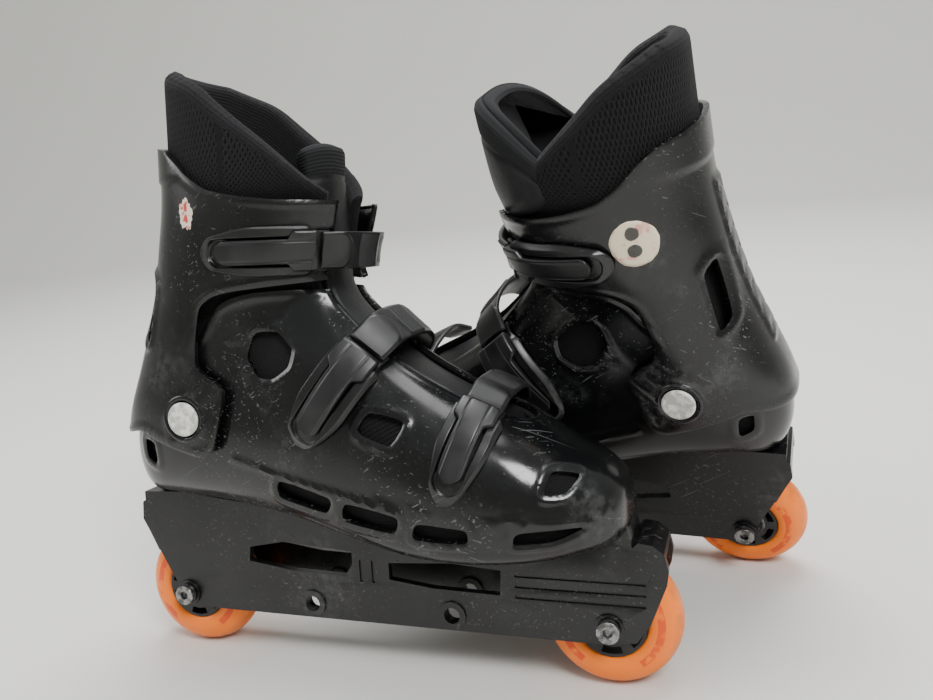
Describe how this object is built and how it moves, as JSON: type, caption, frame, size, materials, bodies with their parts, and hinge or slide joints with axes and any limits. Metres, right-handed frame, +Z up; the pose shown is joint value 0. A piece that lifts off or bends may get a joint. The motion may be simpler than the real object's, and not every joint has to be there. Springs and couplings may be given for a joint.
{
  "type": "inline hockey skates",
  "caption": "Pair of hard-shell buckled inline skates with a hinged cuff, three ratchet buckle straps, padded liner, and a plastic frame with wheels at its ends.",
  "frame": {"origin": "centre of the pair's bounding box, on the floor", "axes": "+Z up, +X along the right skate towards its toe (the pair's longest side), +Y from the right skate towards the left"},
  "size_m": [0.375, 0.2256, 0.3225],
  "materials": {
    "shell": "glossy black moulded plastic, scuffed",
    "frame": "satin dark grey glass-filled nylon",
    "buckle": "matt dark grey nylon",
    "fabric": "black mesh and knitted lining",
    "footbed": "black felt insole",
    "tyre": "bright orange polyurethane",
    "hub": "black moulded nylon",
    "steel": "worn zinc-plated steel"
  },
  "bodies": {
    "right_skate": {"right_frame": "frame", "right_shell": "shell", "right_pivot_outer": "steel", "right_pivot_inner": "steel", "right_liner": "fabric", "right_tongue": "fabric", "right_footbed": "footbed", "right_rear_frame_bolt": "steel", "right_front_frame_bolt": "steel", "right_rear_axle": "steel", "right_front_axle": "steel", "right_instep_buckle_base": "buckle", "right_instep_strap": "buckle", "right_toe_buckle_base": "buckle", "right_toe_strap": "buckle"},
    "right_cuff_body": {"right_cuff": "shell", "right_cuff_buckle_base": "buckle", "right_cuff_strap": "buckle", "right_cuff_strap_anchor": "buckle"},
    "right_cuff_lever": {"right_cuff_buckle_lever": "buckle"},
    "right_instep_lever": {"right_instep_buckle_lever": "buckle"},
    "right_toe_lever": {"right_toe_buckle_lever": "buckle"},
    "right_rear_wheel": {"right_rear_tyre": "tyre", "right_rear_hub": "hub", "right_rear_bearing_outer": "steel", "right_rear_bearing_inner": "steel"},
    "right_front_wheel": {"right_front_tyre": "tyre", "right_front_hub": "hub", "right_front_bearing_outer": "steel", "right_front_bearing_inner": "steel"},
    "left_skate": {"left_frame": "frame", "left_shell": "shell", "left_pivot_outer": "steel", "left_pivot_inner": "steel", "left_liner": "fabric", "left_tongue": "fabric", "left_footbed": "footbed", "left_rear_frame_bolt": "steel", "left_front_frame_bolt": "steel", "left_rear_axle": "steel", "left_front_axle": "steel", "left_instep_buckle_base": "buckle", "left_instep_buckle_lever": "buckle", "left_instep_strap": "buckle", "left_toe_buckle_base": "buckle", "left_toe_buckle_lever": "buckle", "left_toe_strap": "buckle"},
    "left_cuff_body": {"left_cuff": "shell", "left_cuff_buckle_base": "buckle", "left_cuff_strap": "buckle", "left_cuff_strap_anchor": "buckle"},
    "left_cuff_lever": {"left_cuff_buckle_lever": "buckle"},
    "left_rear_wheel": {"left_rear_tyre": "tyre", "left_rear_hub": "hub", "left_rear_bearing_outer": "steel", "left_rear_bearing_inner": "steel"},
    "left_front_wheel": {"left_front_tyre": "tyre", "left_front_hub": "hub", "left_front_bearing_outer": "steel", "left_front_bearing_inner": "steel"}
  },
  "joints": [
    {"name": "left_lift", "type": "slide", "parent": "right_skate", "child": "left_skate", "axis": [0, 0, 1], "range_m": [0, 0.35]},
    {"name": "right_cuff_hinge", "type": "hinge", "parent": "right_skate", "child": "right_cuff_body", "pos_m": [-0.12556, -0.05002, 0.14003], "axis": [0, 0.991, -0.1338], "range_deg": [-3, 10], "deforming": ["right_liner", "right_tongue"]},
    {"name": "right_cuff_lever_hinge", "type": "hinge", "parent": "right_cuff_body", "child": "right_cuff_lever", "pos_m": [-0.04626, -0.07444, 0.22643], "axis": [0.03, 0.1338, 0.9906], "range_deg": [0, 90]},
    {"name": "right_instep_lever_hinge", "type": "hinge", "parent": "right_skate", "child": "right_instep_lever", "pos_m": [-0.02459, -0.08322, 0.17725], "axis": [-0.7915, 0.0818, 0.6057], "range_deg": [0, 90]},
    {"name": "right_toe_lever_hinge", "type": "hinge", "parent": "right_skate", "child": "right_toe_lever", "pos_m": [0.03323, -0.08105, 0.14906], "axis": [-0.9371, 0.0467, 0.3458], "range_deg": [0, 90]},
    {"name": "right_rear_wheel_spin", "type": "hinge", "parent": "right_skate", "child": "right_rear_wheel", "pos_m": [-0.15296, -0.06431, 0.03419], "axis": [0, 0.991, -0.1338], "continuous": true},
    {"name": "right_front_wheel_spin", "type": "hinge", "parent": "right_skate", "child": "right_front_wheel", "pos_m": [0.08704, -0.06431, 0.03419], "axis": [0, 0.991, -0.1338], "continuous": true},
    {"name": "left_cuff_hinge", "type": "hinge", "parent": "left_skate", "child": "left_cuff_body", "pos_m": [0.12303, 0.03346, 0.13679], "axis": [-0.1001, -0.9608, -0.2587], "range_deg": [-3, 10], "deforming": ["left_liner", "left_tongue"]},
    {"name": "left_cuff_lever_hinge", "type": "hinge", "parent": "left_cuff_body", "child": "left_cuff_lever", "pos_m": [0.03837, -0.01388, 0.2071], "axis": [0.0566, 0.254, -0.9655], "range_deg": [0, 90]},
    {"name": "left_rear_wheel_spin", "type": "hinge", "parent": "left_skate", "child": "left_rear_wheel", "pos_m": [0.15314, 0.05809, 0.03363], "axis": [-0.1001, -0.9608, -0.2587], "continuous": true},
    {"name": "left_front_wheel_spin", "type": "hinge", "parent": "left_skate", "child": "left_front_wheel", "pos_m": [-0.08556, 0.08297, 0.03363], "axis": [-0.1001, -0.9608, -0.2587], "continuous": true}
  ]
}
